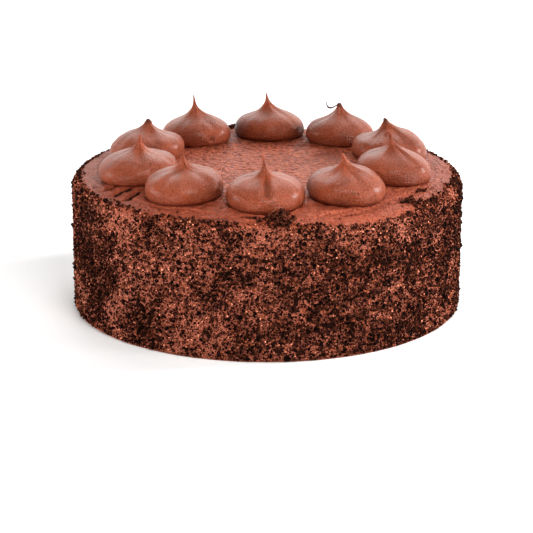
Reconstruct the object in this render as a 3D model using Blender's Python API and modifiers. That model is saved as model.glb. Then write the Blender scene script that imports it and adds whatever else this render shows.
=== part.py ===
"""Round two-layer chocolate cake: one frosted body with a crumb-coated side, and ten piped dollops.

Units are metres, +Z up. The origin is the middle of the cake's flat underside, and -Y is the front.
"""

import math

import bmesh
import bpy
import numpy as np
from mathutils import Matrix, Vector, noise

# Driving dimensions of the cake body.
CAKE_RADIUS = 0.1025
CAKE_HEIGHT = 0.070
SHOULDER_WIDTH = 0.0075
SHOULDER_DROP = 0.0065
FOOT_FLARE = 0.0006
FOOT_HEIGHT = 0.0040
FLARE_HEIGHT = 0.0016
TOP_DOME = 0.0032
CAKE_SIDES = 128
SIDE_RINGS = 17
SHOULDER_RINGS = 4
TOP_RING_SHARES = (0.0, 0.30, 0.55, 0.76, 0.91)

# Relief of the body: bumps of the crumb coat on the side, round spatula marks on the top.
BUMP_DEPTH = 0.0009
BUMP_SEED = 5
SWELL_DEPTH = 0.0006
SWELL_SIZE = 0.024
SPATULA_DEPTH = 0.0006
SPATULA_PITCH = 0.036
SPATULA_DRIFT = (0.25, 0.12)
SPATULA_START = 0.6

# Driving dimensions of a piped dollop.
DOLLOP_FOOT_SHARE = 0.91
DOLLOP_WIDEST_HEIGHT = 0.0033
DOLLOP_CROWN_HEIGHT = 0.0105
DOLLOP_FULLNESS = 2.3
DOLLOP_RING_SHARES = (0.025, 0.08, 0.15, 0.24, 0.36, 0.52, 0.70, 0.86, 0.96, 1.0)
DOLLOP_SIDES = 20
DOLLOP_WOBBLE = (0.018, 0.010)
WOBBLE_TURN = 2.3
RESTING_GAP = 0.0003
SHARP_EDGE = math.radians(50)

# Crumbs of sponge pressed into the frosting: how deep each sits, as a share of its radius,
# how much smaller a heap's last crumbs are than its first, and how uneven each one is.
CRUMB_SINK = 0.35
HEAP_SINK = 0.175
HEAP_TAPER = 0.45
CRUMB_STRETCH = (0.75, 1.15)
CRUMB_ROUGHNESS = (0.82, 1.15)
CRUMB_SEED = 11
GOLDEN_TURN = math.pi * (3 - math.sqrt(5))

# One row for each dollop, anticlockwise from the right-hand back one: its angle and ring radius
# on the cake, its widest radius, the height of its peak, how far the peak spreads at its foot,
# and the peak's lean in degrees with the way it leans. Piping by hand leaves them all different.
DOLLOPS = [
    dict(angle=18.0, ring=0.0690, radius=0.0199, height=0.0202, spread=0.0036, lean=9, towards=180),
    dict(angle=54.2, ring=0.0693, radius=0.0188, height=0.0212, spread=0.0032, lean=3, towards=150),
    dict(angle=88.8, ring=0.0695, radius=0.0194, height=0.0240, spread=0.0026, lean=5, towards=180),
    dict(angle=125.0, ring=0.0680, radius=0.0191, height=0.0258, spread=0.0027, lean=3, towards=180),
    dict(angle=161.1, ring=0.0679, radius=0.0200, height=0.0202, spread=0.0036, lean=4, towards=20),
    dict(angle=197.3, ring=0.0694, radius=0.0204, height=0.0220, spread=0.0029, lean=4, towards=10),
    dict(angle=233.5, ring=0.0694, radius=0.0200, height=0.0208, spread=0.0033, lean=3, towards=200),
    dict(angle=269.4, ring=0.0700, radius=0.0195, height=0.0240, spread=0.0027, lean=4, towards=190),
    dict(angle=305.0, ring=0.0686, radius=0.0195, height=0.0214, spread=0.0031, lean=7, towards=185),
    dict(angle=341.8, ring=0.0686, radius=0.0193, height=0.0233, spread=0.0029, lean=13, towards=180),
]

# Heaps of crumbs that stand clear of the rest: the angle round the cake, the climb from the base
# up the side and over the shoulder, the scatter along each way, the count and the largest radius.
CRUMB_HEAPS = [
    dict(angle=-86.3, climb=0.0690, along=0.0050, up=0.0042, count=12, size=0.0028),
    dict(angle=-2.0, climb=0.0440, along=0.0012, up=0.0036, count=4, size=0.0029),
    dict(angle=187.0, climb=0.0655, along=0.0022, up=0.0026, count=4, size=0.0023),
    dict(angle=-24.5, climb=0.0715, along=0.0034, up=0.0016, count=4, size=0.0018),
    dict(angle=54.0, climb=0.0685, along=0.0016, up=0.0016, count=3, size=0.0023),
]
LONE_CRUMBS = 32
LONE_CRUMB_RADIUS = 0.0021
LONE_CRUMB_RANGE = (0.7, 1.1)
LOWEST_CRUMB = 0.0045
HIGHEST_CRUMB = 0.0685


def clear_scene():
    for obj in list(bpy.data.objects):
        bpy.data.objects.remove(obj, do_unlink=True)


def new_collection(name):
    collection = bpy.data.collections.new(name)
    bpy.context.scene.collection.children.link(collection)
    return collection


def food_material(name, colour, roughness):
    material = bpy.data.materials.new(name)
    material.use_nodes = True
    shader = material.node_tree.nodes["Principled BSDF"]
    shader.inputs["Base Color"].default_value = (*colour, 1.0)
    shader.inputs["Roughness"].default_value = roughness
    shader.inputs["Metallic"].default_value = 0.0
    return material


def turned_mesh(name, profile, sides):
    """A closed mesh from a profile of (radius, height) turned about Z, from top to bottom."""
    line = bpy.data.meshes.new(name + "_profile")
    points = [(radius, 0.0, height) for radius, height in profile]
    line.from_pydata(points, [(i, i + 1) for i in range(len(points) - 1)], [])
    turned = bpy.data.objects.new(name + "_turned", line)
    bpy.context.scene.collection.objects.link(turned)
    screw = turned.modifiers.new("turn", "SCREW")
    screw.axis = "Z"
    screw.steps = sides
    screw.render_steps = sides
    screw.use_merge_vertices = True
    screw.merge_threshold = 0.00001
    graph = bpy.context.evaluated_depsgraph_get()
    mesh = bpy.data.meshes.new_from_object(turned.evaluated_get(graph))
    bpy.data.objects.remove(turned, do_unlink=True)
    mesh.name = name
    return mesh


def finish_mesh(mesh):
    """Triangles facing out, split along the shorter diagonal, and shaded smooth up to sharp edges."""
    tidy = bmesh.new()
    tidy.from_mesh(mesh)
    bmesh.ops.recalc_face_normals(tidy, faces=tidy.faces)
    bmesh.ops.triangulate(tidy, faces=tidy.faces, quad_method="SHORT_EDGE")
    tidy.to_mesh(mesh)
    tidy.free()
    mesh.shade_smooth()
    mesh.set_sharp_from_angle(angle=SHARP_EDGE)


def dome_height(radius):
    """How far the slightly domed top stands above its rim, at a distance from the middle."""
    share = min(radius / (CAKE_RADIUS - SHOULDER_WIDTH), 1.0)
    return TOP_DOME * (1 - share**3)


def cake_profile():
    """Half section of the cake: a domed top, a soft shoulder, an upright side and a flat base."""
    flat_radius = CAKE_RADIUS - SHOULDER_WIDTH
    side_top = CAKE_HEIGHT - SHOULDER_DROP
    top = []
    for share in TOP_RING_SHARES:
        radius = flat_radius * share
        top.append((radius, CAKE_HEIGHT + dome_height(radius)))
    shoulder = []
    for step in range(SHOULDER_RINGS):
        turn = math.radians(90 * step / SHOULDER_RINGS)
        radius = flat_radius + SHOULDER_WIDTH * math.sin(turn)
        shoulder.append((radius, side_top + SHOULDER_DROP * math.cos(turn)))
    side = []
    for step in range(SIDE_RINGS):
        height = side_top + (FOOT_HEIGHT - side_top) * step / (SIDE_RINGS - 1)
        side.append((CAKE_RADIUS, height))
    foot = [(CAKE_RADIUS + FOOT_FLARE, FLARE_HEIGHT), (CAKE_RADIUS, 0.0)]
    return top + shoulder + side + foot + [(0.0, 0.0)]


def crumb_bump(point, rng):
    """How far the crumb coat stands out at a point of the side, in metres."""
    return BUMP_DEPTH * rng.uniform(-1, 1) + SWELL_DEPTH * noise.noise(point / SWELL_SIZE)


def spatula_mark(point):
    """How deep the spatula's round sweep lies below the top, in metres."""
    angle = math.atan2(point.y, point.x)
    once, thrice = SPATULA_DRIFT
    drift = once * math.sin(angle + SPATULA_START) + thrice * math.sin(3 * angle)
    sweep = 2 * math.pi * (math.hypot(point.x, point.y) / SPATULA_PITCH + drift)
    return SPATULA_DEPTH * (0.5 + 0.5 * math.sin(sweep))


def shape_cake(mesh):
    """Gives the turned body its crumb bumps and spatula marks, and leaves the base flat."""
    flat_radius = CAKE_RADIUS - SHOULDER_WIDTH
    rng = np.random.default_rng(BUMP_SEED)
    for vertex in mesh.vertices:
        point = vertex.co.copy()
        radius = math.hypot(point.x, point.y)
        if point.z == 0.0:
            continue
        if radius < flat_radius:
            vertex.co.z -= spatula_mark(point)
            continue
        coat = min(1.0, (CAKE_HEIGHT - point.z) / SHOULDER_DROP)
        outward = Vector((point.x, point.y, 0)) / radius
        vertex.co += outward * crumb_bump(point, rng) * coat


def crumb_mesh(rng, radius):
    """One crumb: a small lump with uneven corners."""
    lump = bmesh.new()
    bmesh.ops.create_icosphere(lump, subdivisions=1, radius=radius)
    stretch = rng.uniform(*CRUMB_STRETCH, 3)
    for vertex in lump.verts:
        uneven = rng.uniform(*CRUMB_ROUGHNESS)
        vertex.co = Vector(vertex.co[axis] * stretch[axis] * uneven for axis in range(3))
    mesh = bpy.data.meshes.new("crumb")
    lump.to_mesh(mesh)
    lump.free()
    return mesh


def coat_point(angle, climb, sink):
    """A point of the coat: up the side from the base, then over the shoulder, sunk by a distance."""
    side_top = CAKE_HEIGHT - SHOULDER_DROP
    shoulder_length = math.pi / 4 * (SHOULDER_WIDTH + SHOULDER_DROP)
    turn = math.pi / 2 * min(1.0, max(0.0, climb - side_top) / shoulder_length)
    radius = CAKE_RADIUS - SHOULDER_WIDTH * (1 - math.cos(turn)) - sink * math.cos(turn)
    height = min(climb, side_top) + SHOULDER_DROP * math.sin(turn) - sink * math.sin(turn)
    return Vector((radius * math.cos(angle), radius * math.sin(angle), height))


def add_crumb(collection, rng, place, radius):
    crumb = bpy.data.objects.new("crumb", crumb_mesh(rng, radius))
    axis = Vector(rng.normal(size=3)).normalized()
    spin = Matrix.Rotation(rng.uniform(0, 2 * math.pi), 4, axis)
    crumb.matrix_world = Matrix.Translation(place) @ spin
    collection.objects.link(crumb)


def scatter_crumbs(collection):
    """Heaps where the real cake has them, then lone crumbs spread evenly over the side."""
    rng = np.random.default_rng(CRUMB_SEED)
    for heap in CRUMB_HEAPS:
        for index in range(heap["count"]):
            share = index / heap["count"]
            radius = heap["size"] * (1 - HEAP_TAPER * share)
            way = index * GOLDEN_TURN
            aside = heap["along"] * math.sqrt(share) * math.cos(way)
            climb = heap["climb"] + heap["up"] * math.sqrt(share) * math.sin(way)
            angle = math.radians(heap["angle"]) + aside / CAKE_RADIUS
            add_crumb(collection, rng, coat_point(angle, climb, radius * HEAP_SINK), radius)
    for index in range(LONE_CRUMBS):
        climb = LOWEST_CRUMB + (HIGHEST_CRUMB - LOWEST_CRUMB) * (index + 0.5) / LONE_CRUMBS
        radius = LONE_CRUMB_RADIUS * rng.uniform(*LONE_CRUMB_RANGE)
        place = coat_point(index * GOLDEN_TURN, climb, radius * CRUMB_SINK)
        add_crumb(collection, rng, place, radius)


def make_cake(parts, material):
    mesh = turned_mesh("cake", cake_profile(), CAKE_SIDES)
    shape_cake(mesh)
    finish_mesh(mesh)
    cake = bpy.data.objects.new("cake", mesh)
    parts.objects.link(cake)
    crumbs = new_collection("crumbs")
    scatter_crumbs(crumbs)
    join = cake.modifiers.new("join_crumbs", "BOOLEAN")
    join.operation = "UNION"
    join.operand_type = "COLLECTION"
    join.collection = crumbs
    join.solver = "MANIFOLD"
    graph = bpy.context.evaluated_depsgraph_get()
    joined = bpy.data.meshes.new_from_object(cake.evaluated_get(graph))
    cake.modifiers.clear()
    cake.data = joined
    cake.data.materials.clear()
    cake.data.materials.append(material)
    for crumb in list(crumbs.objects):
        bpy.data.objects.remove(crumb, do_unlink=True)
    bpy.data.collections.remove(crumbs)
    return cake


def dollop_profile(dollop):
    """Half section of a dollop: a fine peak, a domed crown, a full side and a narrower flat foot."""
    radius = dollop["radius"]
    foot = radius * DOLLOP_FOOT_SHARE
    peak = dollop["height"] - DOLLOP_WIDEST_HEIGHT - DOLLOP_CROWN_HEIGHT
    points = [(0.0, dollop["height"])]
    for share in DOLLOP_RING_SHARES:
        out = radius * share
        crown = DOLLOP_CROWN_HEIGHT * (1 - share**DOLLOP_FULLNESS) ** (1 / DOLLOP_FULLNESS)
        rise = peak * math.exp(-out / dollop["spread"])
        points.append((out, DOLLOP_WIDEST_HEIGHT + crown + rise))
    for turn in (math.pi / 4, math.pi / 2):
        out = foot + (radius - foot) * math.cos(turn)
        points.append((out, DOLLOP_WIDEST_HEIGHT * (1 - math.sin(turn))))
    return points + [(0.0, 0.0)]


def shape_dollop(mesh, dollop, index):
    """Leaves the sides slightly out of round, leans the peak and settles it all on the dome."""
    lean = math.tan(math.radians(dollop["lean"]))
    way = math.radians(dollop["towards"] - dollop["angle"])
    twofold, threefold = DOLLOP_WOBBLE
    for vertex in mesh.vertices:
        point = vertex.co
        angle = math.atan2(point.y, point.x)
        wobble = 1 + twofold * math.sin(2 * angle + index)
        wobble += threefold * math.sin(3 * angle + WOBBLE_TURN * index)
        point.x *= wobble
        point.y *= wobble
        above = max(0.0, point.z - DOLLOP_WIDEST_HEIGHT)
        from_middle = math.hypot(dollop["ring"] + point.x, point.y)
        settled = dome_height(from_middle)
        shift = lean * above * above / (dollop["height"] - DOLLOP_WIDEST_HEIGHT)
        point.x += shift * math.cos(way)
        point.y += shift * math.sin(way)
        point.z += settled


def make_dollop(parts, material, dollop, index):
    name = f"dollop_{index + 1:02d}"
    mesh = turned_mesh(name, dollop_profile(dollop), DOLLOP_SIDES)
    shape_dollop(mesh, dollop, index)
    finish_mesh(mesh)
    mesh.materials.append(material)
    piece = bpy.data.objects.new(name, mesh)
    angle = math.radians(dollop["angle"])
    piece.rotation_euler = (0, 0, angle)
    piece.location = (
        dollop["ring"] * math.cos(angle),
        dollop["ring"] * math.sin(angle),
        CAKE_HEIGHT + RESTING_GAP,
    )
    parts.objects.link(piece)
    return piece


def main():
    clear_scene()
    parts = new_collection("chocolate_cake")
    frosting = food_material("chocolate_frosting", (0.150, 0.045, 0.026), 0.45)
    crumb_coat = food_material("chocolate_crumb_coat", (0.050, 0.018, 0.012), 0.85)
    make_cake(parts, crumb_coat)
    for index, dollop in enumerate(DOLLOPS):
        make_dollop(parts, frosting, dollop, index)


main()
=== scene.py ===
import math

import bpy
import numpy as np
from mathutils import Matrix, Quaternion, Vector, noise


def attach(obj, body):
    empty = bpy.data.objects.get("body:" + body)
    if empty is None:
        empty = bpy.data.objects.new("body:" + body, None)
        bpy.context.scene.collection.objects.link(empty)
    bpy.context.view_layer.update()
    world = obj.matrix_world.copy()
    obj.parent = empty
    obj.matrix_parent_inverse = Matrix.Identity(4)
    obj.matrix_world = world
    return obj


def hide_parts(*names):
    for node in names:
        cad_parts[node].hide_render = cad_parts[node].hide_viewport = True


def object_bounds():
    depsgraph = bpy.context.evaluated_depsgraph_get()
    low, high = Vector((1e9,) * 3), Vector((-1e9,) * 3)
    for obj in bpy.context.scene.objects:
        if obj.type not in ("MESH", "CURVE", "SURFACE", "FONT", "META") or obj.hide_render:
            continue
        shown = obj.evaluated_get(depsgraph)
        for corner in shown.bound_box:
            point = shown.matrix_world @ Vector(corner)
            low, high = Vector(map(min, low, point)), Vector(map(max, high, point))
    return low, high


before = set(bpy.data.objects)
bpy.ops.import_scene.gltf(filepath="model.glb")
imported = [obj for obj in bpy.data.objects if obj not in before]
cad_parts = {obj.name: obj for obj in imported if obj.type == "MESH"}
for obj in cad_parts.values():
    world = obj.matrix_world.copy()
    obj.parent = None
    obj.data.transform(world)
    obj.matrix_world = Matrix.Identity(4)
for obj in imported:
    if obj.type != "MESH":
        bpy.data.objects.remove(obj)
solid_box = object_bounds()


# The studio: a round cake photographed from a little above, on a seamless pale table.
# A wide panel lights it from far behind, softboxes from both sides, and a small one from close
# in front, under dim white surroundings. The table is stage only and isn't part of the cake.

LOOK_AT = Vector((-0.0002, 0.0, 0.0168))
CAMERA_DISTANCE = 1.050
CAMERA_ELEVATION = math.radians(17.5)
SENSOR_WIDTH = 36.0  # mm
LENS = 132.7  # mm
FLOOR_REACH = 5.0
FLOOR_DROP = 0.0002  # the table lies this far below the cake's foot
FLOOR_COLOUR = (0.90, 0.90, 0.895, 1.0)
FLOOR_ROUGHNESS = 0.6
FLOOR_SPECULAR = 0.2
SURROUND_COLOUR = (1.0, 1.0, 1.0, 1.0)
SURROUND_STRENGTH = 0.03

scene = bpy.context.scene
scene.view_settings.view_transform = "Standard"
scene.view_settings.look = "Medium High Contrast"

camera = bpy.data.objects.new("camera", bpy.data.cameras.new("camera"))
camera.data.sensor_width = SENSOR_WIDTH
camera.data.lens = LENS
camera.location = LOOK_AT + CAMERA_DISTANCE * Vector(
    (0.0, -math.cos(CAMERA_ELEVATION), math.sin(CAMERA_ELEVATION))
)
camera.rotation_euler = (LOOK_AT - camera.location).to_track_quat("-Z", "Y").to_euler()
scene.collection.objects.link(camera)
scene.camera = camera

surround = bpy.data.worlds.new("white surroundings")
surround.use_nodes = True
surround_light = surround.node_tree.nodes["Background"]
surround_light.inputs["Color"].default_value = SURROUND_COLOUR
surround_light.inputs["Strength"].default_value = SURROUND_STRENGTH
scene.world = surround


CAKE_MIDDLE = (0.0, 0.0, 0.06)
SOFTBOXES = [  # where each light's middle stands, its width and height, and the spot it faces
    dict(name="back panel", place=(0.0, 2.20, 0.66), size=(4.0, 1.0), watts=28.0),
    dict(name="floor light", place=(0.0, 1.50, 0.80), size=(1.6, 0.5), watts=6.5,
         aim=(0.0, 1.00, 0.0)),
    dict(name="high back softbox", place=(0.0, 0.60, 0.70), size=(0.90, 0.40), watts=2.6,
         aim=(0.0, 0.20, 0.0)),
    dict(name="near key", place=(0.03, -0.25, 0.28), size=(0.16, 0.12), watts=0.80),
    dict(name="right softbox", place=(2.00, 0.44, 0.70), size=(0.56, 0.84), watts=68.0),
    dict(name="front right card", place=(0.80, -0.35, 0.22), size=(0.24, 0.30), watts=3.0),
    dict(name="left softbox", place=(-1.60, 0.00, 0.32), size=(0.72, 0.60), watts=21.0),
    dict(name="low card", place=(-1.05, -1.57, 0.16), size=(1.9, 0.26), watts=15.5,
         aim=(0.0, 0.0, 0.03)),
]


def add_softbox(name, place, size, watts, aim=CAKE_MIDDLE):
    """A rectangular area light at place that faces aim."""
    lamp = bpy.data.lights.new(name, "AREA")
    lamp.shape = "RECTANGLE"
    lamp.size, lamp.size_y = size
    lamp.energy = watts
    box = bpy.data.objects.new(name, lamp)
    box.location = place
    box.rotation_euler = (Vector(aim) - Vector(place)).to_track_quat("-Z", "Y").to_euler()
    box.visible_camera = False
    scene.collection.objects.link(box)


for softbox in SOFTBOXES:
    add_softbox(**softbox)


class Socket:
    """One output of a shader node, so that shader maths reads as plain arithmetic."""

    def __init__(self, tree, source=None):
        self.tree = tree
        self.source = source

    def node(self, kind, settings=(), inputs=(), output=0):
        """Adds a node: first its settings, then its sockets' values or links."""
        made = self.tree.nodes.new(kind)
        for key, value in dict(settings).items():
            setattr(made, key, value)
        for key, value in dict(inputs).items():
            if isinstance(value, Socket):
                self.tree.links.new(value.source, made.inputs[key])
            else:
                made.inputs[key].default_value = value
        return Socket(self.tree, made.outputs[output])

    def maths(self, operation, first, second):
        """A Math node on two numbers or sockets."""
        return self.node("ShaderNodeMath", {"operation": operation}, {0: first, 1: second})

    def __add__(self, other):
        return self.maths("ADD", self, other)

    __radd__ = __add__

    def __sub__(self, other):
        return self.maths("SUBTRACT", self, other)

    def __rsub__(self, other):
        return self.maths("SUBTRACT", other, self)

    def __mul__(self, other):
        return self.maths("MULTIPLY", self, other)

    __rmul__ = __mul__


def between(low, high, value):
    """A mask that runs from 0 where value is low to 1 where it is high."""
    inputs = {"Value": value, "From Min": low, "From Max": high}
    return value.node("ShaderNodeMapRange", {"interpolation_type": "SMOOTHSTEP"}, inputs)


# The sockets of a Mix node that work on colours, by number because their names repeat.
MIX_FACTOR, MIX_FIRST, MIX_SECOND, MIX_RESULT = 0, 6, 7, 2


def blend_colours(mask, first, second):
    """A colour that turns from first to second as mask goes from 0 to 1."""
    inputs = {MIX_FACTOR: mask, MIX_FIRST: first, MIX_SECOND: second}
    return mask.node("ShaderNodeMix", {"data_type": "RGBA"}, inputs, output=MIX_RESULT)


def new_finish(name):
    """A new material, its Principled node, and the place on the object as a Socket."""
    finish = bpy.data.materials.new(name)
    finish.use_nodes = True
    tree = finish.node_tree
    place = Socket(tree).node("ShaderNodeTexCoord", output="Object")
    return finish, tree.nodes["Principled BSDF"], place


def join(value, shader, key):
    """Links a Socket to a socket of the finish's Principled node."""
    value.tree.links.new(value.source, shader.inputs[key])


def stored_value(place, name):
    """A number that the piece's corners carry under a name."""
    return place.node("ShaderNodeAttribute", {"attribute_name": name}, output="Fac")


def stretched(place, across, along, up):
    """The place scaled by its own amount along each axis."""
    inputs = {0: place, 1: (across, along, up)}
    return place.node("ShaderNodeVectorMath", {"operation": "MULTIPLY"}, inputs)


def noise_on(place, scale, detail=2.0, roughness=0.5):
    """A noise value on a place. scale is in features per metre."""
    inputs = {"Vector": place, "Scale": scale, "Detail": detail, "Roughness": roughness}
    return place.node("ShaderNodeTexNoise", {}, inputs)


def pits_on(place, scale, width):
    """Small round pits: 1 in the middle of a pit, 0 away from it."""
    cells = place.node("ShaderNodeTexVoronoi", {}, {"Vector": place, "Scale": scale})
    return 1 - between(0.0, width, cells)


def bumped(height, distance, strength=1.0):
    """A Bump node's normal from a height of 0 to 1 over a real distance."""
    inputs = {"Height": height, "Distance": distance, "Strength": strength}
    return height.node("ShaderNodeBump", {}, inputs)


def add_piece(name, corners, faces, finish, smooth=True):
    """A new mesh piece of the cake from arrays of corners and faces, in the cake's frame."""
    mesh = bpy.data.meshes.new(name)
    mesh.from_pydata(corners, [], faces)
    mesh.update()
    if smooth:
        mesh.shade_smooth()
    mesh.materials.append(finish)
    piece = bpy.data.objects.new(name, mesh)
    scene.collection.objects.link(piece)
    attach(piece, "root")
    return piece


def store_values(piece, name, values):
    """Gives each corner of a piece its number, for stored_value to read."""
    stored = piece.data.attributes.new(name, "FLOAT", "POINT")
    stored.data.foreach_set("value", values)


floor_finish, floor_shader, _ = new_finish("pale table")
floor_shader.inputs["Base Color"].default_value = FLOOR_COLOUR
floor_shader.inputs["Roughness"].default_value = FLOOR_ROUGHNESS
floor_shader.inputs["Specular IOR Level"].default_value = FLOOR_SPECULAR
floor_mesh = bpy.data.meshes.new("floor")
floor_corners = [
    (FLOOR_REACH * x, FLOOR_REACH * y, -FLOOR_DROP)
    for x, y in ((-1, -1), (1, -1), (1, 1), (-1, 1))
]
floor_mesh.from_pydata(floor_corners, [], [(0, 1, 2, 3)])
floor_mesh.materials.append(floor_finish)
floor = bpy.data.objects.new("floor", floor_mesh)
scene.collection.objects.link(floor)


# The cake: covered all over with one coat of chocolate frosting, which a spatula smooths to a
# straight side, a soft shoulder and a nearly level top. The blade leaves fine streaks, a ridge
# where one stroke overlaps the next, two torn spots at the front left and a few scratches.

CAKE_RADIUS = 0.1025  # as the solid, crumbs included
FROSTING_RADIUS = 0.1017
CAKE_HEIGHT = 0.0700
SHOULDER_WIDTH = 0.0075
SHOULDER_DROP = 0.0065
SHOULDER_LENGTH = 0.0110  # along its curve
TOP_DOME = 0.0032
BODY_SIDES = 440
SIDE_STEP = 0.0030
SHOULDER_STEPS = 12
RIM_STEP = 0.00055  # ring spacing on the outer part of the top, where the marks are fine
RIM_BAND = 0.0145
TOP_STEP = 0.0012
CLOSE_ANGLE = -2.50  # the sides stand closest together at this angle, where the torn spots are
CLOSE_WIDTH = 0.22
CLOSE_SHARE = 2.6
STREAK_DEPTH = 0.00050
MIDDLE_STREAKS = [  # strength, length, width and seed of the marks across the middle
    (1.0, 0.014, 0.0032, 0.3),
    (0.9, 0.0050, 0.0038, 5.3),
]
RIM_STREAKS = [  # strength, marks per radian, width and seed of the round marks near the rim
    (1.0, 4.2, 0.0012, 9.1),
    (0.8, 2.2, 0.0034, 3.7),
]
ROUND_MARKS = (0.048, 0.014)  # where the round marks begin, and over what distance
NEAR_RIM = (0.078, 0.012)
LUMP_DEPTH = 0.00045
TOP_LUMP_SIZE = 0.016
RIM_LUMP_SIZE = 0.0068
SIDE_LUMPS = [(1.0, 0.0, 0.020), (0.7, 0.0, 0.0075)]  # strength, offset and size
FOOT_FADE = 0.004  # the side's lumps fade out over this height, towards the flat foot
RIDGE_HEIGHT = 0.0010
RIDGE_WIDTH = 0.0007
RIDGE_WAVER = 0.0005
RIDGE_WAVER_SIZE = 0.015
RIDGE_STEP = 0.45  # how much lower the frosting is beyond the ridge, as a share of its height
RIDGE_STEP_WIDTH = 0.0006
RIDGE_CENTRE = (-0.0695, 0.0660)  # the spatula's last round stroke turns about this point
RIDGE_RADIUS = 0.1805
RIDGE_TURNS = (-1.50, -0.42)  # where the ridge starts and ends, round the cake
GOUGE_RUNOUT = 0.1  # how far a torn spot runs out past each of its ends
GOUGE_BLUNTNESS = 0.7
LIP_HEIGHT = 0.40  # of the lip that a torn spot pushes up beside it, as a share of its depth
LIP_PLACE = 2.1  # in widths of the torn spot
LIP_WIDTH = 1.1
GOUGES = [
    dict(start=(-0.0765, -0.0500), end=(-0.0685, -0.0400), width=0.0013, depth=0.0034),
    dict(start=(-0.0700, -0.0600), end=(-0.0640, -0.0470), width=0.0010, depth=0.0028),
    dict(start=(-0.0830, -0.0430), end=(-0.0750, -0.0350), width=0.0014, depth=0.0009),
    dict(start=(-0.0330, -0.0905), end=(-0.0150, -0.0920), width=0.0009, depth=0.0008),
    dict(start=(0.0340, -0.0860), end=(0.0460, -0.0795), width=0.0006, depth=0.0008),
]
FROSTING_LIGHT = (0.610, 0.168, 0.086, 1.0)
FROSTING_DARK = (0.250, 0.055, 0.026, 1.0)
GOUGE_SHADE_DEPTH = 0.0011  # a spot this deep is painted fully in shade
TOP_FROM = 0.06  # everything above this height is the top
GOUGE_SHADE_COLOUR = (0.020, 0.0065, 0.0042, 1.0)  # painted shade: the near-black shadow at the bottom of a deep torn spot
COAT_TOP = 0.0672  # below this height the frosting is darkened by fine crumb dust and by painted shade between the crumbs
PRESSED_COLOUR = (0.480, 0.158, 0.100, 1.0)  # the frosting that shows between the crumbs
PRESSED_COVER = 0.8
# Fine crumb dust, and painted shade in the gaps between the crumbs:
DUST_AND_SHADE_COLOUR = (0.028, 0.0105, 0.0075, 1.0)
DUST_AND_SHADE_COVER = 0.85
MARKED_MIDDLE = (0.052, 0.078)  # the middle's coarse marks fade out between these radii
COAT_EDGE = (-0.002, 0.001)  # from COAT_TOP, where the pressed frosting ends
COAT_EDGE_WAVER = 0.008
FROSTING_RELIEF = 0.0036
FROSTING_SUBSURFACE = 0.06
FROSTING_SPECULAR = 0.15
CREAM_RADIUS = (0.0025, 0.0009, 0.0006)  # how far red, green and blue light goes into frosting


def noise_at(x, y, z, size):
    """Smooth noise from -1 to 1 with features of that size, at a point in metres."""
    return noise.noise(Vector((x, y, z)) / size)


def layered_noise(x, y, z, layers):
    """Noise of several sizes added up. Each layer is a strength, an offset and a size."""
    total = 0.0
    for strength, offset, size in layers:
        total += strength * noise_at(x, y, z + offset, size)
    return total


def ramp(value, start, length):
    """0 up to start, then rising evenly over length, and 1 from there on."""
    return min(max((value - start) / length, 0.0), 1.0)


def dome_height(radius):
    """How far the slightly domed top stands above its rim, at a distance from the middle."""
    share = min(radius / (FROSTING_RADIUS - SHOULDER_WIDTH), 1.0)
    return TOP_DOME * (1 - share**3)


def frosting_profile():
    """Radius, height and outward direction of each ring from the foot to the middle of the top."""
    rings = []
    side_height = CAKE_HEIGHT - SHOULDER_DROP
    for height in np.linspace(0.0, side_height, round(side_height / SIDE_STEP) + 1):
        rings.append((FROSTING_RADIUS, height, 1.0, 0.0))
    flat_radius = FROSTING_RADIUS - SHOULDER_WIDTH
    for turn in np.linspace(0.0, math.pi / 2, SHOULDER_STEPS + 1)[1:]:
        radius = flat_radius + SHOULDER_WIDTH * math.cos(turn)
        height = side_height + SHOULDER_DROP * math.sin(turn)
        rings.append((radius, height, math.cos(turn), math.sin(turn)))
    band_radius = flat_radius - RIM_BAND
    radii = list(np.linspace(flat_radius, band_radius, round(RIM_BAND / RIM_STEP) + 1)[1:])
    radii += list(np.linspace(band_radius, 0.0, round(band_radius / TOP_STEP) + 1)[1:-1])
    for radius in radii:
        rings.append((radius, CAKE_HEIGHT + dome_height(radius), 0.0, 1.0))
    return rings


def side_angles():
    """The angles of the body's sides round the cake, closest together at CLOSE_ANGLE."""
    fine = np.linspace(-math.pi, math.pi, 8 * BODY_SIDES + 1)
    weights = 1.0 + CLOSE_SHARE * np.exp(-(((fine - CLOSE_ANGLE) / CLOSE_WIDTH) ** 2))
    total = np.concatenate([[0.0], np.cumsum((weights[1:] + weights[:-1]) / 2)])
    return np.interp(np.arange(BODY_SIDES) / BODY_SIDES * total[-1], total, fine)


def gouge_depth(x, y):
    """How deep the torn spots cut at a point of the top, with the lip that each pushes up."""
    depth = 0.0
    for gouge in GOUGES:
        start = Vector(gouge["start"])
        along = Vector(gouge["end"]) - start
        length = along.length
        offset = Vector((x, y)) - start
        share = offset.dot(along) / length**2
        if -GOUGE_RUNOUT < share < 1 + GOUGE_RUNOUT:
            across = offset.cross(along) / length / gouge["width"]
            along_cut = ramp(share, -GOUGE_RUNOUT, 1 + 2 * GOUGE_RUNOUT)
            cut = gouge["depth"] * math.sin(math.pi * along_cut) ** GOUGE_BLUNTNESS
            depth += cut * math.exp(-across * across)
            depth -= LIP_HEIGHT * cut * math.exp(-((across + LIP_PLACE) / LIP_WIDTH) ** 2)
    return depth


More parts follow.
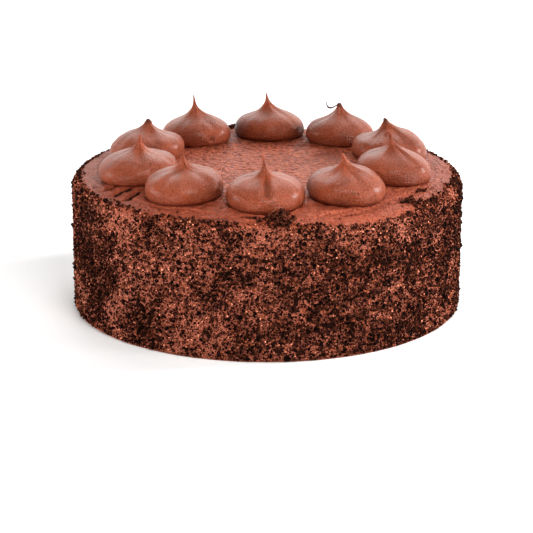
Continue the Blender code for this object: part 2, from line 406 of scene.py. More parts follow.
def top_relief(x, y):
    """Height of the frosting's spatula marks at a point of the top, about its level."""
    radius = math.hypot(x, y)
    turn = math.atan2(y, x)
    middle = rim = 0.0
    for strength, mark_length, mark_width, seed in MIDDLE_STREAKS:
        middle += strength * noise.noise(Vector((x / mark_length, y / mark_width, seed)))
    for strength, per_radian, mark_width, seed in RIM_STREAKS:
        rim += strength * noise.noise(Vector((turn * per_radian, radius / mark_width, seed)))
    outward = ramp(radius, *ROUND_MARKS)
    height = STREAK_DEPTH * (middle * (1.0 - outward) + rim * outward)
    near_rim = ramp(radius, *NEAR_RIM)
    height += LUMP_DEPTH * (0.5 + 0.9 * near_rim) * noise_at(x, y, 0.0, TOP_LUMP_SIZE)
    height += 1.5 * LUMP_DEPTH * near_rim * noise_at(x, y, 2.0, RIM_LUMP_SIZE)
    beyond = math.hypot(x - RIDGE_CENTRE[0], y - RIDGE_CENTRE[1]) - RIDGE_RADIUS
    beyond += RIDGE_WAVER * noise_at(x, y, 0.4, RIDGE_WAVER_SIZE)
    first, last = RIDGE_TURNS
    if first < turn < last:
        ridge = RIDGE_HEIGHT * math.sin(math.pi * (turn - first) / (last - first)) ** 0.4
        height += ridge * math.exp(-((beyond / RIDGE_WIDTH) ** 2))
        height -= RIDGE_STEP * ridge / (1.0 + math.exp(-beyond / RIDGE_STEP_WIDTH))
    return height - gouge_depth(x, y)


def side_relief(x, y, z):
    """How far the side's frosting stands out from its true circle."""
    return LUMP_DEPTH * layered_noise(x, y, z, SIDE_LUMPS)


def make_frosting_mesh():
    """Corners and faces of the frosted cake, closed by a flat foot."""
    rings = frosting_profile()
    angles = side_angles()
    corners = []
    for radius, height, out, up in rings:
        for angle in angles:
            x, y = radius * math.cos(angle), radius * math.sin(angle)
            push_out = out * side_relief(x, y, height) * min(height / FOOT_FADE, 1.0)
            push_up = up * top_relief(x, y) if up > 0.0 else 0.0
            swell = 1.0 + push_out / radius
            corners.append((x * swell, y * swell, height + push_up))
    faces = []
    for ring in range(len(rings) - 1):
        low, high = ring * BODY_SIDES, (ring + 1) * BODY_SIDES
        for side in range(BODY_SIDES):
            after = (side + 1) % BODY_SIDES
            faces.append((low + side, low + after, high + after, high + side))
    top_middle = len(corners)
    corners.append((0.0, 0.0, CAKE_HEIGHT + TOP_DOME + top_relief(0.0, 0.0)))
    last = (len(rings) - 1) * BODY_SIDES
    for side in range(BODY_SIDES):
        faces.append((last + side, last + (side + 1) % BODY_SIDES, top_middle))
    foot_middle = len(corners)
    corners.append((0.0, 0.0, 0.0))
    for side in range(BODY_SIDES):
        faces.append(((side + 1) % BODY_SIDES, side, foot_middle))
    return corners, faces


def make_creamy(shader, subsurface, specular):
    """Lets a little light into a finish, as frosting does, and sets how glossy it is."""
    shader.inputs["Subsurface Weight"].default_value = subsurface
    shader.inputs["Subsurface Radius"].default_value = CREAM_RADIUS
    shader.inputs["Subsurface Scale"].default_value = 1.0
    shader.inputs["Specular IOR Level"].default_value = specular


frosting, shader, place = new_finish("spread chocolate frosting")
blotches = noise_on(place, 45.0, detail=3.0)
mottle = noise_on(place, 380.0, detail=4.0, roughness=0.65)
streaks = noise_on(stretched(place, 150.0, 300.0, 300.0), 1.0, detail=3.0, roughness=0.65)
dabs = noise_on(stretched(place, 360.0, 420.0, 300.0), 1.0, detail=2.0, roughness=0.6)
reach = place.node("ShaderNodeVectorMath", {"operation": "LENGTH"},
                   {0: stretched(place, 1.0, 1.0, 0.0)}, output="Value")
middle = 1 - between(*MARKED_MIDDLE, reach)
mixed = blotches * 0.10 + mottle * 0.15 + streaks * 0.20 + dabs * 0.55
tone = between(0.0, 1.0, 0.26 + 0.18 * middle + (mixed - 0.5) * (1.6 + 2.4 * middle))
bare = blend_colours(tone, FROSTING_DARK, FROSTING_LIGHT)
# The torn spots are painted darker the deeper they cut: painted shade in the hollows.
bare = blend_colours(between(0.25, 0.75, stored_value(place, "gouge_shade")), bare, GOUGE_SHADE_COLOUR)
height = place.node("ShaderNodeSeparateXYZ", {}, {0: place}, output="Z")
wavered = height + (blotches - 0.5) * COAT_EDGE_WAVER
coated = 1 - between(COAT_TOP + COAT_EDGE[0], COAT_TOP + COAT_EDGE[1], wavered)
# Specks of fine crumb dust, and painted shade in the gaps between the crumbs, darken the frosting
# under the coat.
dust_and_shade = between(0.50, 0.60, noise_on(place, 1250.0, detail=1.0) + (blotches - 0.5) * 0.25)
bare = blend_colours(coated * PRESSED_COVER, bare, PRESSED_COLOUR)
join(blend_colours(coated * dust_and_shade * DUST_AND_SHADE_COVER, bare, DUST_AND_SHADE_COLOUR), shader, "Base Color")
join(0.36 + 0.20 * mottle + 0.3 * coated, shader, "Roughness")
bubbles = pits_on(place, 210.0, 0.24) * between(0.48, 0.58, noise_on(place, 110.0))
grain = noise_on(place, 1300.0, detail=2.0, roughness=0.6)
fine_relief = (streaks * 0.7 + dabs * 1.8) * (0.35 + 0.65 * middle)
fine_relief = fine_relief + mottle * 0.5 + grain * 0.4 - bubbles * 1.2
join(bumped(fine_relief, FROSTING_RELIEF), shader, "Normal")
make_creamy(shader, FROSTING_SUBSURFACE, FROSTING_SPECULAR)

cake_corners, cake_faces = make_frosting_mesh()
cake = add_piece("frosted_cake", cake_corners, cake_faces, frosting)
# How deep each corner lies in a torn spot, which the frosting's finish paints as shade.
store_values(cake, "gouge_shade", [
    ramp(gouge_depth(x, y), 0.0, GOUGE_SHADE_DEPTH) if z > TOP_FROM else 0.0 for x, y, z in cake_corners
])
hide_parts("cake")


# The crumb coat: chocolate cake crumbs pressed by hand into the side while the frosting was
# soft, from the foot up over the shoulder. They lie thick, with frosting showing between
# them, and a few clots and strays sit on the rim.

RIM_CLIMB = 0.0713  # how far up the coat reaches, measured over the shoulder
RIM_WAVE = 0.0013
HIGHEST_WAVE = 2.5
RIM_WAVES = [(1.0, 0.0, 0.018), (0.8, 0.5, 0.005)]  # strength, offset and size
RIM_DIPS = [  # places where the coat stops lower: angle in degrees, drop, half width in degrees
    (-62.0, 0.0042, 15.0),
    (-128.0, 0.0012, 8.0),
    (-46.0, 0.0020, 7.0),
    (70.0, 0.0030, 14.0),
    (140.0, 0.0020, 20.0),
]
LOWEST_CLIMB = 0.0004
COVER = 0.72  # share of the crumbs that stay where the coat is neither thick nor thin
LEAST_COVER = 0.12
COVER_PATCHES = [(1.2, 0.0, 0.030), (0.8, 0.3, 0.010), (0.5, 0.7, 0.0045)]
THIN_FROM = 0.72  # the coat thins towards the rim from here, as a share of the cake's height
THIN_OVER = 0.28
RIM_THINNING = 0.25
EDGE_WIDTH = 0.0014
NOISE_RADIUS = 0.1  # the coat's patches and waves are laid out round a circle of this radius
COAT_SEED = 20
MOST_REACH = 0.1049  # no crumb stands out further than this from the middle
LUMP_EDGE = 1.2  # corners of a lump of radius 1 that are closer than this share an edge
CRUMB_ROUGHNESS = (0.62, 1.38)
CRUMB_STRETCH = (0.65, 1.30)
LIFT_CHANGE = (-0.0001, 0.00025)
SIZE_LIMITS = (-1.0, 0.75)  # as powers of e, smallest and largest against the usual size
TONE_POWER = 1.6  # above 1, more of the crumbs are dark than light
LOWEST_SHARE = 0.6  # a crumb's middle stays this share of its size above the table
CRUMB_PORES = 3200.0  # to the metre
PORE_DEPTH = 0.0002
CRUMB_SPECULAR = 0.04
BOX_LOW = np.array(solid_box[0]) + (0.0001, 0.0001, 0.0)
BOX_HIGH = np.array(solid_box[1]) - 0.0001
CRUMB_KINDS = [
    dict(name="crumbs_fine", liking=0.45, count=24500, size=0.00084, spread=0.34, lift=0.00005,
         form="grain", dark=(0.006, 0.0026, 0.0019, 1.0), light=(0.155, 0.043, 0.023, 1.0)),
    dict(name="crumbs_dark", liking=0.80, count=24500, size=0.00104, spread=0.32, lift=0.00010,
         form="grain", dark=(0.0016, 0.0009, 0.0008, 1.0), light=(0.036, 0.0115, 0.0074, 1.0)),
    dict(name="crumbs_brown", liking=0.35, count=23500, size=0.00098, spread=0.32, lift=0.00012,
         form="grain", dark=(0.012, 0.0040, 0.0026, 1.0), light=(0.330, 0.094, 0.050, 1.0)),
    dict(name="crumbs_coarse", liking=1.0, count=4300, size=0.00150, spread=0.28, lift=0.00018,
         form="lump", dark=(0.003, 0.0014, 0.0011, 1.0), light=(0.070, 0.0210, 0.0120, 1.0)),
    dict(name="frosting_flecks", liking=-1.6, count=8000, size=0.00062, spread=0.40, lift=0.00026,
         form="grain", dark=(0.400, 0.130, 0.074, 1.0), light=(0.950, 0.370, 0.230, 1.0)),
]
# Each clot's angle round the cake and climb, how far it reaches along and up, its clumps with
# the crumbs and the radius of each, and how high they pile up in the middle.
CLOTS = [
    dict(angle=-86.0, climb=0.0735, along=0.0062, up=0.0046,
         clumps=34, crumbs=38, ball=0.0015, pile=0.0052),
    dict(angle=-94.0, climb=0.0745, along=0.0060, up=0.0022,
         clumps=12, crumbs=14, ball=0.0009, pile=0.0004),
    dict(angle=-2.0, climb=0.0440, along=0.0008, up=0.0034,
         clumps=5, crumbs=26, ball=0.0012, pile=0.0012),
    dict(angle=187.0, climb=0.0665, along=0.0022, up=0.0030,
         clumps=6, crumbs=20, ball=0.0011, pile=0.0004),
    dict(angle=-40.0, climb=0.0745, along=0.0070, up=0.0028,
         clumps=26, crumbs=18, ball=0.0011, pile=0.0006),
    dict(angle=-29.0, climb=0.0795, along=0.0026, up=0.0014,
         clumps=6, crumbs=18, ball=0.0011, pile=0.0005),
    dict(angle=51.5, climb=0.0715, along=0.0008, up=0.0006,
         clumps=6, crumbs=22, ball=0.0013, pile=0.0044),
    dict(angle=101.0, climb=0.0725, along=0.0042, up=0.0012,
         clumps=10, crumbs=14, ball=0.0009, pile=0.0030),
    dict(angle=-110.0, climb=0.0705, along=0.0110, up=0.0014,
         clumps=16, crumbs=12, ball=0.0008, pile=0.0003),
    dict(angle=-135.0, climb=0.0705, along=0.0120, up=0.0014,
         clumps=14, crumbs=12, ball=0.0008, pile=0.0003),
]
CLOT_LIMIT = 1.7
CLOT_SPREAD = 0.6
PILE_CHANGE = (0.3, 1.0)
CLUMP_FILL = (0.2, 1.0)
CLUMP_CRUMB_SIZES = (0.0007, 0.0015)
RIM_CLUMPS = 90  # small clumps all along the coat's ragged upper edge
RIM_CLUMP_CRUMBS = 10
RIM_CLUMP_RADII = (0.0005, 0.0010)
RIM_CLUMP_LIFT = 0.0001
RIM_CLUMP_SCATTER = 0.0008
STRAYS = 110
STRAY_REACH = 0.0026
FURTHEST_STRAY = 0.012
STRAY_LIFT = 0.0002
STRAY_SIZES = (0.0006, 0.0012)


def coat_surface(angle, climb, lift):
    """Points on the coat for arrays of angles, climbs and lifts."""
    side_height = CAKE_HEIGHT - SHOULDER_DROP
    flat_radius = FROSTING_RADIUS - SHOULDER_WIDTH
    turn = np.clip((climb - side_height) / SHOULDER_LENGTH, 0.0, 1.0) * math.pi / 2
    beyond = np.maximum(climb - side_height - SHOULDER_LENGTH, 0.0)
    radius = flat_radius + SHOULDER_WIDTH * np.cos(turn) - beyond
    height = np.minimum(climb, side_height) + SHOULDER_DROP * np.sin(turn)
    height = height + TOP_DOME * (1 - np.minimum(radius / flat_radius, 1.0) ** 3)
    radius = radius + np.cos(turn) * lift
    height = height + np.sin(turn) * lift
    return np.stack([radius * np.cos(angle), radius * np.sin(angle), height], axis=1)


def lump_form():
    """Corners and faces of a twelve-cornered lump."""
    gold = (1 + math.sqrt(5)) / 2
    corners = []
    for a in (-1, 1):
        for b in (-gold, gold):
            corners += [(0, a, b), (a, b, 0), (b, 0, a)]
    corners = np.array(corners, float) / math.hypot(1, gold)
    faces = []
    for i in range(12):
        for j in range(i + 1, 12):
            for k in range(j + 1, 12):
                a, b, c = corners[i], corners[j], corners[k]
                longest = max(np.linalg.norm(a - b), np.linalg.norm(b - c), np.linalg.norm(a - c))
                if longest < LUMP_EDGE:
                    ordered = np.dot(np.cross(b - a, c - a), a) > 0
                    faces.append((i, j, k) if ordered else (i, k, j))
    return corners, np.array(faces)


def grain_form():
    """Corners and faces of a six-cornered grain."""
    corners = np.array([(1, 0, 0), (0, 1, 0), (-1, 0, 0), (0, -1, 0), (0, 0, 1), (0, 0, -1)], float)
    faces = [(i, (i + 1) % 4, 4) for i in range(4)] + [((i + 1) % 4, i, 5) for i in range(4)]
    return corners, np.array(faces)


CRUMB_FORMS = {"lump": lump_form(), "grain": grain_form()}


def random_turns(rng, count):
    """Random rotation matrices from normal quaternions."""
    w, x, y, z = rng.normal(size=(4, count))
    length = np.sqrt(w * w + x * x + y * y + z * z)
    w, x, y, z = w / length, x / length, y / length, z / length
    rows = [
        [1 - 2 * (y * y + z * z), 2 * (x * y - z * w), 2 * (x * z + y * w)],
        [2 * (x * y + z * w), 1 - 2 * (x * x + z * z), 2 * (y * z - x * w)],
        [2 * (x * z - y * w), 2 * (y * z + x * w), 1 - 2 * (x * x + y * y)],
    ]
    return np.array(rows).transpose(2, 0, 1)


def crumb_arrays(rng, points, sizes, form):
    """Corners and faces of one irregular crumb at each point, all joined."""
    corners, faces = CRUMB_FORMS[form]
    count = len(points)
    rough = rng.uniform(*CRUMB_ROUGHNESS, size=(count, len(corners), 1))
    stretch = rng.uniform(*CRUMB_STRETCH, size=(count, 1, 3))
    shaped = corners[None] * rough * stretch * (0.5 * sizes[:, None, None])
    turned = np.einsum("nij,nkj->nki", random_turns(rng, count), shaped)
    placed = turned + points[:, None, :]
    offsets = np.arange(count)[:, None, None] * len(corners)
    return placed.reshape(-1, 3), (faces[None] + offsets).reshape(-1, 3)


def rim_climb(angle):
    """How far up the coat reaches at an angle: a wavy, ragged edge with a few dips."""
    x, y = NOISE_RADIUS * math.cos(angle), NOISE_RADIUS * math.sin(angle)
    climb = RIM_CLIMB + RIM_WAVE * layered_noise(x, y, 0.0, RIM_WAVES)
    for centre, drop, half_width in RIM_DIPS:
        gap = (math.degrees(angle) - centre + 180.0) % 360.0 - 180.0
        climb -= drop * math.exp(-((gap / half_width) ** 2))
    return climb


def coat_density(angle, climb, liking):
    """Share of the crumbs that stay at a place. liking is how far the kind keeps to the patches
    where the coat is thick, or if it is below 0, to the thin ones."""
    x, y = NOISE_RADIUS * math.cos(angle), NOISE_RADIUS * math.sin(angle)
    patch = layered_noise(x, y, climb, COVER_PATCHES)
    patch -= RIM_THINNING * max(climb / CAKE_HEIGHT - THIN_FROM, 0.0) / THIN_OVER
    edge = (rim_climb(angle) - climb) / EDGE_WIDTH
    return min(max(COVER + liking * patch, LEAST_COVER), 1.0) * min(max(0.5 + edge, 0.0), 1.0)


def scatter_places(rng, count, liking):
    """Angles and climbs of crumbs spread over the coat and thinned by its density."""
    top = RIM_CLIMB + HIGHEST_WAVE * RIM_WAVE
    angles = rng.uniform(-math.pi, math.pi, size=2 * count)
    climbs = rng.uniform(LOWEST_CLIMB, top, size=2 * count)
    chance = rng.uniform(size=2 * count)
    kept = [i for i in range(2 * count) if chance[i] < coat_density(angles[i], climbs[i], liking)]
    kept = kept[:count]
    return angles[kept], climbs[kept]


def crumb_finish(name, dark, light):
    """A dry, porous crumb finish whose tone changes from crumb to crumb."""
    finish, shader, place = new_finish(name)
    pores = noise_on(place, CRUMB_PORES)
    tone = between(0.05, 1.0, stored_value(place, "tone") * 0.85 + pores * 0.25)
    join(blend_colours(tone, dark, light), shader, "Base Color")
    join(0.78 + 0.18 * pores, shader, "Roughness")
    join(bumped(pores, PORE_DEPTH, strength=0.8), shader, "Normal")
    shader.inputs["Specular IOR Level"].default_value = CRUMB_SPECULAR
    return finish


def clump_crumbs(rng, angle, climb, lift, count, ball):
    """Places and sizes of the crumbs that make one small round clump on the coat."""
    middle = coat_surface(np.array([angle]), np.array([climb]), np.array([lift]))
    offsets = rng.normal(size=(count, 3))
    length = np.linalg.norm(offsets, axis=1)
    offsets *= (ball * rng.uniform(*CLUMP_FILL, size=count) / length)[:, None]
    sizes = rng.uniform(*CLUMP_CRUMB_SIZES, size=count)
    return middle + offsets, sizes


rng = np.random.default_rng(COAT_SEED)
clump_points, clump_sizes = [], []
for clot in CLOTS:
    for _ in range(clot["clumps"]):
        along, up = rng.normal(size=2).clip(-CLOT_LIMIT, CLOT_LIMIT) * CLOT_SPREAD
        angle = math.radians(clot["angle"]) + along * clot["along"] / CAKE_RADIUS
        climb = clot["climb"] + up * clot["up"]
        lift = clot["pile"] * math.exp(-along * along - up * up) * rng.uniform(*PILE_CHANGE)
        found = clump_crumbs(rng, angle, climb, lift, clot["crumbs"], clot["ball"])
        clump_points.append(found[0])
        clump_sizes.append(found[1])
for _ in range(RIM_CLUMPS):
    angle = rng.uniform(-math.pi, math.pi)
    climb = rim_climb(angle) + rng.normal(0.0, RIM_CLUMP_SCATTER)
    ball = rng.uniform(*RIM_CLUMP_RADII)
    found = clump_crumbs(rng, angle, climb, RIM_CLUMP_LIFT, RIM_CLUMP_CRUMBS, ball)
    clump_points.append(found[0])
    clump_sizes.append(found[1])
stray_angles = rng.uniform(-math.pi, math.pi, size=STRAYS)
stray_climbs = RIM_CLIMB + rng.exponential(STRAY_REACH, size=STRAYS).clip(0.0, FURTHEST_STRAY)
strays = coat_surface(stray_angles, stray_climbs, np.full(STRAYS, STRAY_LIFT))
clump_points.append(strays)
clump_sizes.append(rng.uniform(*STRAY_SIZES, size=STRAYS))


def add_crumbs(kind, points, sizes):
    """One piece with an irregular crumb at each point, none of them through the floor."""
    points[:, 2] = np.maximum(points[:, 2], LOWEST_SHARE * sizes)
    corners, faces = crumb_arrays(rng, points, sizes, kind["form"])
    corners[:, 2] = np.maximum(corners[:, 2], 0.0)
    reach = np.hypot(corners[:, 0], corners[:, 1])
    corners[:, :2] *= (np.minimum(reach, MOST_REACH) / reach)[:, None]
    corners = np.clip(corners, BOX_LOW, BOX_HIGH)
    finish = crumb_finish(kind["name"], kind["dark"], kind["light"])
    piece = add_piece(kind["name"], corners, faces, finish, smooth=False)
    tones = rng.uniform(size=len(points)) ** TONE_POWER
    store_values(piece, "tone", np.repeat(tones, len(corners) // len(points)).astype(np.float32))
    return piece


for kind in CRUMB_KINDS:
    angles, climbs = scatter_places(rng, kind["count"], kind["liking"])
    count = len(angles)
    lifts = kind["lift"] + rng.uniform(*LIFT_CHANGE, size=count)
    points = coat_surface(angles, climbs, lifts)
    powers = rng.normal(scale=kind["spread"], size=count).clip(*SIZE_LIMITS)
    sizes = kind["size"] * np.exp(powers)
    piece = add_crumbs(kind, points, sizes)

clot_kind = dict(name="crumb_clots", form="grain", dark=(0.006, 0.0026, 0.0019, 1.0),
                 light=(0.150, 0.0450, 0.0260, 1.0))
clots = add_crumbs(clot_kind, np.concatenate(clump_points), np.concatenate(clump_sizes))


# The ten dollops: whipped frosting piped from a round nozzle held upright, pressed until it
# swelled, then pulled away, which draws each top up into a peak. The peaks lean, fold over or
# break off blunt, and the flanks keep soft facets, creases and small air pits.

DOLLOP_SIDES = 80
WIDEST_HEIGHT = 0.0038
CROWN_HEIGHT = 0.0102
FULLNESS = 2.4
FOOT_SHARE = 0.84
DOLLOP_SINK = 0.0002
BELLY_RINGS = 8
FLANK_TURN = 1.30
FLANK_RINGS = 28
NECK_RINGS = 36
TIP_RINGS = 5
TIP_ROUNDNESS = 0.9
TIP_END = 0.3  # how far the tip's last point stands above its last ring, in radii of that ring
BODY_UNEVENNESS = 0.022
BODY_LOBES = 1.3  # the higher, the more bulges there are round a dollop
FACET_LOBES = 2.6
FACET_LENGTH = 0.010
RAGGED_LOBES = 1.7
RAGGED_LENGTH = 0.0011
PEAK_EVEN = 0.12  # below this share of the widest radius the facets fade out
CREASE_EDGE = (0.99, 0.14)  # the share where a crease begins, and how fast it deepens
CREASE_END = 0.06  # below this share it fades out again
FOOT_EVEN = 0.0025  # the facets fade out over this height, towards the foot
MOST_CREASE = 0.25  # a crease is never deeper than this share of the radius
TILT_FROM = (0.35, 0.2)  # the rings tilt with the peak from this share of its height, over this
SPIKE_SPREAD = 0.00040
TIP_DARK_AND_GLOW_RANGE = 0.0034  # how far down from a tip its darker end, and the painted glow of light in a thin tip, reach

# radius is the widest, spread is how fast the neck thins, spike is the share of the peak drawn
# out thin, tip is the peak's own radius, ragged is how broken the tip is, and the tip's darkening
# and glow is how much darker the tip's end is, or below 0 how much painted light glows in a thin
# tip. Each crease is a direction in degrees, a depth and a half width, and each dent is the same
# with its height after the direction.
DOLLOPS = [
    dict(angle=18.0, ring=0.0690, radius=0.0199, height=0.0211, lean=9, towards=180,
         spread=0.0036, spike=0.0, tip=0.0016, bend=40, bend_radius=0.0024, facets=0.00045,
         ragged=0.00050, tip_dark_and_glow_amount=0.8, creases=[(-60, 0.0008, 0.0025), (230, 0.0006, 0.0018)]),
    dict(angle=54.2, ring=0.0693, radius=0.0188, height=0.0216, lean=3, towards=150,
         spread=0.0036, spike=0.0, tip=0.0013, bend=15, bend_radius=0.0030, facets=0.00035,
         ragged=0.00045, tip_dark_and_glow_amount=0.8, creases=[(200, 0.0006, 0.0020), (-70, 0.0004, 0.0030)],
         dents=[(-100, 0.0030, 0.0009, 0.0011), (-70, 0.0052, 0.0007, 0.0008)]),
    dict(angle=88.8, ring=0.0695, radius=0.0194, height=0.0247, lean=5, towards=180,
         spread=0.0033, spike=0.20, tip=0.00030, bend=12, bend_radius=0.0100, facets=0.00035,
         ragged=0.0, tip_dark_and_glow_amount=0.5, creases=[(-40, 0.0005, 0.0020), (-115, 0.0005, 0.0022)],
         dents=[(-112, 0.0035, 0.0009, 0.0012), (-60, 0.0045, 0.0007, 0.0010)]),
    dict(angle=125.0, ring=0.0680, radius=0.0191, height=0.0263, lean=3, towards=180,
         spread=0.0040, spike=0.32, tip=0.00032, bend=6, bend_radius=0.0150, facets=0.00035,
         ragged=0.0, tip_dark_and_glow_amount=0.5, creases=[(-120, 0.0005, 0.0020), (-50, 0.0005, 0.0025)],
         dents=[(-62, 0.0040, 0.0016, 0.0012), (-74, 0.0028, 0.0011, 0.0010)]),
    dict(angle=161.1, ring=0.0679, radius=0.0200, height=0.0204, lean=4, towards=20,
         spread=0.0034, spike=0.0, tip=0.0014, bend=25, bend_radius=0.0024, facets=0.00045,
         ragged=0.00060, tip_dark_and_glow_amount=0.8, creases=[(-70, 0.0006, 0.0025)]),
    dict(angle=197.3, ring=0.0694, radius=0.0204, height=0.0227, lean=4, towards=10,
         spread=0.0026, spike=0.16, tip=0.00035, bend=8, bend_radius=0.0100, facets=0.00045,
         ragged=0.0, tip_dark_and_glow_amount=-0.3, creases=[(-82, 0.0006, 0.0018)],
         dents=[(-20, 0.0100, 0.0008, 0.0022)]),
    dict(angle=233.5, ring=0.0694, radius=0.0200, height=0.0214, lean=2, towards=180,
         spread=0.0021, spike=0.0, tip=0.0006, bend=6, bend_radius=0.0060, facets=0.00070,
         ragged=0.00010, tip_dark_and_glow_amount=0.2,
         creases=[(-128, 0.0013, 0.0026), (-40, 0.0009, 0.0026), (-95, 0.0003, 0.0030)],
         dents=[(-18, 0.0062, 0.0016, 0.0014), (-30, 0.0036, 0.0011, 0.0011)]),
    dict(angle=269.4, ring=0.0700, radius=0.0195, height=0.0248, lean=3, towards=190,
         spread=0.0017, spike=0.40, tip=0.00030, bend=6, bend_radius=0.0100, facets=0.00045,
         ragged=0.0, tip_dark_and_glow_amount=-0.5, creases=[(-87, 0.0022, 0.0017), (-58, 0.0004, 0.0030)]),
    dict(angle=304.6, ring=0.0695, radius=0.0197, height=0.0221, lean=6, towards=185,
         spread=0.0027, spike=0.12, tip=0.00045, bend=55, bend_radius=0.0016, facets=0.00055,
         ragged=0.0, tip_dark_and_glow_amount=0.0, creases=[(-62, 0.0009, 0.0024), (-130, 0.0006, 0.0025)]),
    dict(angle=341.8, ring=0.0686, radius=0.0195, height=0.0242, lean=7, towards=180,
         spread=0.0038, spike=0.52, tip=0.00042, bend=195, bend_radius=0.0014, facets=0.00045,
         ragged=0.0, tip_dark_and_glow_amount=0.3, creases=[(-48, 0.0006, 0.0010), (-110, 0.0004, 0.0025)]),
]
DOLLOP_LIGHT = (0.336, 0.081, 0.0345, 1.0)
DOLLOP_DARK = (0.146, 0.031, 0.0122, 1.0)
# The darker end of a tip, and the painted glow of light through a thin tip:
DARK_TIP_COLOUR = (0.060, 0.016, 0.009, 1.0)
LIT_TIP_COLOUR = (0.620, 0.190, 0.075, 1.0)  # a thin tip lets light through
DOLLOP_RELIEF = 0.0013
DOLLOP_SUBSURFACE = 0.05
DOLLOP_SPECULAR = 0.18
DOLLOP_COAT = 0.12
DOLLOP_COAT_ROUGHNESS = 0.26
STRAND_DOLLOP = "dollop_02"
STRAND_ROOT = Vector((-0.0004, 0.0, -0.0008))  # where the thread starts, from the tip
STRAND_STEPS = 14
STRAND_SIDES = 7
STRAND_THINNING = 0.45
STRAND_FLATNESS = 0.5
STRAND_REACH = 0.0065
STRAND_SAG = 0.0022
STRAND_RISE = 0.0018
STRAND_RADIUS = 0.00062


def drawn_length(dollop):
    """The dollop's height measured along its centre line, which a bent tip makes longer."""
    bend = math.radians(dollop["bend"])
    rise = dollop["bend_radius"] * math.sin(min(bend, math.pi / 2))
    return dollop["height"] - rise + dollop["bend_radius"] * bend


def dollop_rings(dollop):
    """Radius and height of each ring, from the foot up over the belly and the neck to the tip."""
    radius, tip = dollop["radius"], dollop["tip"]
    length = drawn_length(dollop)
    cap = TIP_ROUNDNESS * tip
    peak = length - cap - WIDEST_HEIGHT - CROWN_HEIGHT
    rings = []
    for turn in np.linspace(0.0, math.pi / 2, BELLY_RINGS + 1)[:-1]:
        out = FOOT_SHARE + (1 - FOOT_SHARE) * math.sin(turn)
        rings.append((radius * out, WIDEST_HEIGHT * (1 - math.cos(turn))))
    shares = [math.cos(turn) for turn in np.linspace(0.0, FLANK_TURN, FLANK_RINGS)]
    shares += [float(share) for share in np.geomspace(shares[-1], tip / radius, NECK_RINGS)[1:]]
    for share in shares:
        out = radius * share
        crown = CROWN_HEIGHT * max(1 - share**FULLNESS, 0.0) ** (1 / FULLNESS)
        neck = (1 - dollop["spike"]) * math.exp(-(out - tip) / dollop["spread"])
        neck = peak * (neck + dollop["spike"] * math.exp(-(out - tip) / SPIKE_SPREAD))
        rings.append((out, WIDEST_HEIGHT + crown + neck))
    for turn in np.linspace(0.0, math.pi / 2, TIP_RINGS + 1)[1:-1]:
        rings.append((tip * math.cos(turn), length - cap + cap * math.sin(turn)))
    return rings


def spine(dollop, rings):
    """Centre and tilt of each ring: the dollop leans, and its tip bends over in an arc."""
    side = Vector((math.cos(math.radians(dollop["towards"])),
                   math.sin(math.radians(dollop["towards"])), 0.0))
    axis = Vector((0.0, 0.0, 1.0)).cross(side)
    length = drawn_length(dollop)
    bend_from = length - dollop["bend_radius"] * math.radians(dollop["bend"])
    centre = Vector((0.0, 0.0, 0.0))
    frames = []
    last = 0.0
    for _, height in rings:
        above = max(height - WIDEST_HEIGHT, 0.0) / (length - WIDEST_HEIGHT)
        lean = 2.0 * math.radians(dollop["lean"]) * above
        bend = max(height - bend_from, 0.0) / dollop["bend_radius"]
        step = height - last
        last = height
        tilt = lean + bend
        centre = centre + step * (math.sin(tilt) * side + Vector((0.0, 0.0, math.cos(tilt))))
        frames.append((centre.copy(), Quaternion(axis, tilt * ramp(above, *TILT_FROM))))
    return frames


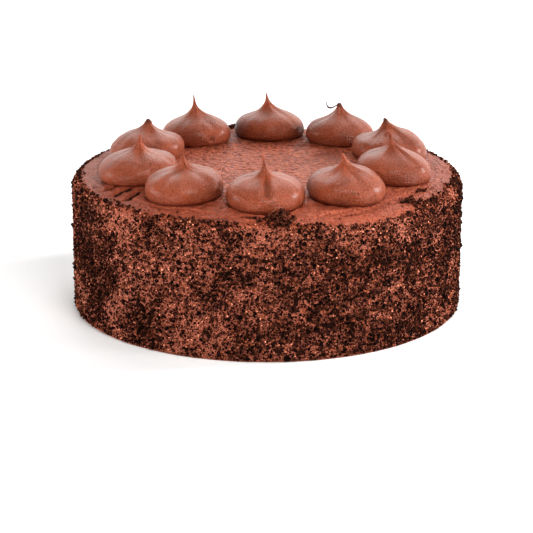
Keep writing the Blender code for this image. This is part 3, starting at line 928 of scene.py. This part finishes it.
def dollop_mesh(dollop, number):
    """Corners and faces of one piped dollop, standing on the cake's top."""
    rings = dollop_rings(dollop)
    frames = spine(dollop, rings)
    around = math.radians(dollop["angle"])
    foot = Vector((dollop["ring"] * math.cos(around), dollop["ring"] * math.sin(around),
                   CAKE_HEIGHT - DOLLOP_SINK))
    corners, tip_dark_and_glow_values = [], []
    length = drawn_length(dollop)
    for ring, ((radius, height), (centre, turn)) in enumerate(zip(rings, frames)):
        below, above = rings[max(ring - 1, 0)], rings[min(ring + 1, len(rings) - 1)]
        slope = Vector((above[1] - below[1], below[0] - above[0])).normalized()
        share = radius / dollop["radius"]
        flank = min(1.0, height / FOOT_EVEN) * min(share / PEAK_EVEN, 1.0)
        fade = min(max((CREASE_EDGE[0] - share) / CREASE_EDGE[1], 0.0), 1.0)
        fade *= min(share / CREASE_END, 1.0) * (height > WIDEST_HEIGHT)
        # Near the tip the colour is painted darker, or with a negative amount, painted with a glow
        # of light through the thin tip.
        tip_dark_and_glow = min(max(1.0 - (length - height) / TIP_DARK_AND_GLOW_RANGE, 0.0), 1.0)
        ragged = dollop["ragged"] * min(2 * tip_dark_and_glow, 1.0)
        for side in range(DOLLOP_SIDES):
            angle = math.tau * side / DOLLOP_SIDES
            x, y = math.cos(angle), math.sin(angle)
            wide = noise.noise(Vector((BODY_LOBES * x, BODY_LOBES * y, 7.0 * number)))
            level = 7.0 * number + height / FACET_LENGTH
            facet = noise.noise(Vector((FACET_LOBES * x, FACET_LOBES * y, level)))
            level = 3.0 * number + height / RAGGED_LENGTH
            broken = noise.noise(Vector((RAGGED_LOBES * x, RAGGED_LOBES * y, level)))
            push = dollop["facets"] * facet * flank + ragged * broken
            for direction, depth, half_width in dollop["creases"]:
                gap = (angle - math.radians(direction) + math.pi) % math.tau - math.pi
                across = gap * max(radius, half_width) / half_width
                push -= min(depth, MOST_CREASE * radius) * fade * math.exp(-across * across)
            for direction, climb, depth, half_width in dollop.get("dents", ()):
                gap = (angle - math.radians(direction) + math.pi) % math.tau - math.pi
                across = math.hypot(gap * radius, height - climb) / half_width
                push -= depth * math.exp(-across * across)
            out = radius * (1 + BODY_UNEVENNESS * wide) + push * slope.x
            point = foot + centre + turn @ Vector((out * x, out * y, push * slope.y))
            point.z += dome_height(math.hypot(point.x, point.y))
            corners.append(tuple(point))
            tip_dark_and_glow_values.append(dollop["tip_dark_and_glow_amount"] * tip_dark_and_glow)
    faces = []
    for ring in range(len(rings) - 1):
        low, high = ring * DOLLOP_SIDES, (ring + 1) * DOLLOP_SIDES
        for side in range(DOLLOP_SIDES):
            after = (side + 1) % DOLLOP_SIDES
            faces.append((low + side, low + after, high + after, high + side))
    end_radius = float(rings[-1][0])
    centre, turn = frames[-1]
    end = foot + centre + turn @ Vector((0.0, 0.0, TIP_END * end_radius))
    end.z += dome_height(math.hypot(end.x, end.y))
    top = len(corners)
    corners.append(tuple(end))
    tip_dark_and_glow_values.append(dollop["tip_dark_and_glow_amount"])
    last = (len(rings) - 1) * DOLLOP_SIDES
    for side in range(DOLLOP_SIDES):
        faces.append((last + side, last + (side + 1) % DOLLOP_SIDES, top))
    faces.append(tuple(range(DOLLOP_SIDES - 1, -1, -1)))
    return corners, faces, tip_dark_and_glow_values, end


def strand_mesh(start, first):
    """A thread of frosting pulled off the tip: it sags to the left, then curls up to its end."""
    corners, faces = [], []
    sides, last = STRAND_SIDES, STRAND_STEPS * STRAND_SIDES
    for step in range(STRAND_STEPS + 1):
        share = step / STRAND_STEPS
        x = -STRAND_REACH * math.sin(share * math.pi / 2)
        z = -STRAND_SAG * math.sin(math.pi * share) + STRAND_RISE * share**3
        radius = STRAND_RADIUS * (1.0 - STRAND_THINNING * share)
        for side in range(sides):
            angle = math.tau * side / sides
            across, along = radius * math.cos(angle), radius * math.sin(angle)
            offset = Vector((STRAND_FLATNESS * across, along, across))
            corners.append(tuple(start + Vector((x, 0.0, z)) + offset))
    for step in range(STRAND_STEPS):
        low, high = first + step * sides, first + (step + 1) * sides
        for side in range(sides):
            after = (side + 1) % sides
            faces.append((low + side, low + after, high + after, high + side))
    faces.append(tuple(first + side for side in range(sides - 1, -1, -1)))
    faces.append(tuple(first + last + side for side in range(sides)))
    return corners, faces


whipped, shader, place = new_finish("piped whipped frosting")
cloud = noise_on(place, 70.0)
mottle = noise_on(place, 1300.0, detail=3.0, roughness=0.6)
tone = between(0.30, 0.70, cloud * 0.35 + mottle * 0.65)
# Above 0 the stored value darkens the tip's end; below 0 it paints the tip with the glow of light
# shining through it: painted light.
tip_dark_and_glow = stored_value(place, "tip_dark_and_glow")
colour = blend_colours(tone, DOLLOP_DARK, DOLLOP_LIGHT)
colour = blend_colours(between(0.0, 1.0, tip_dark_and_glow), colour, DARK_TIP_COLOUR)
join(blend_colours(between(0.0, 1.0, 0 - tip_dark_and_glow), colour, LIT_TIP_COLOUR), shader, "Base Color")
join(0.24 + 0.15 * mottle, shader, "Roughness")
air = pits_on(place, 420.0, 0.19) * between(0.50, 0.58, noise_on(place, 200.0))
join(bumped(mottle - air * 2.0 + cloud * 0.5, DOLLOP_RELIEF), shader, "Normal")
make_creamy(shader, DOLLOP_SUBSURFACE, DOLLOP_SPECULAR)
shader.inputs["Coat Weight"].default_value = DOLLOP_COAT
shader.inputs["Coat Roughness"].default_value = DOLLOP_COAT_ROUGHNESS

for number, dollop in enumerate(DOLLOPS, start=1):
    name = f"dollop_{number:02d}"
    corners, faces, tip_dark_and_glow_values, tip = dollop_mesh(dollop, number)
    if name == STRAND_DOLLOP:
        strand_corners, strand_faces = strand_mesh(tip + STRAND_ROOT, len(corners))
        corners += strand_corners
        faces += strand_faces
        tip_dark_and_glow_values += [dollop["tip_dark_and_glow_amount"]] * len(strand_corners)
    piped = add_piece(f"piped_{name}", corners, faces, whipped)
    store_values(piped, "tip_dark_and_glow", tip_dark_and_glow_values)
    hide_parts(name)
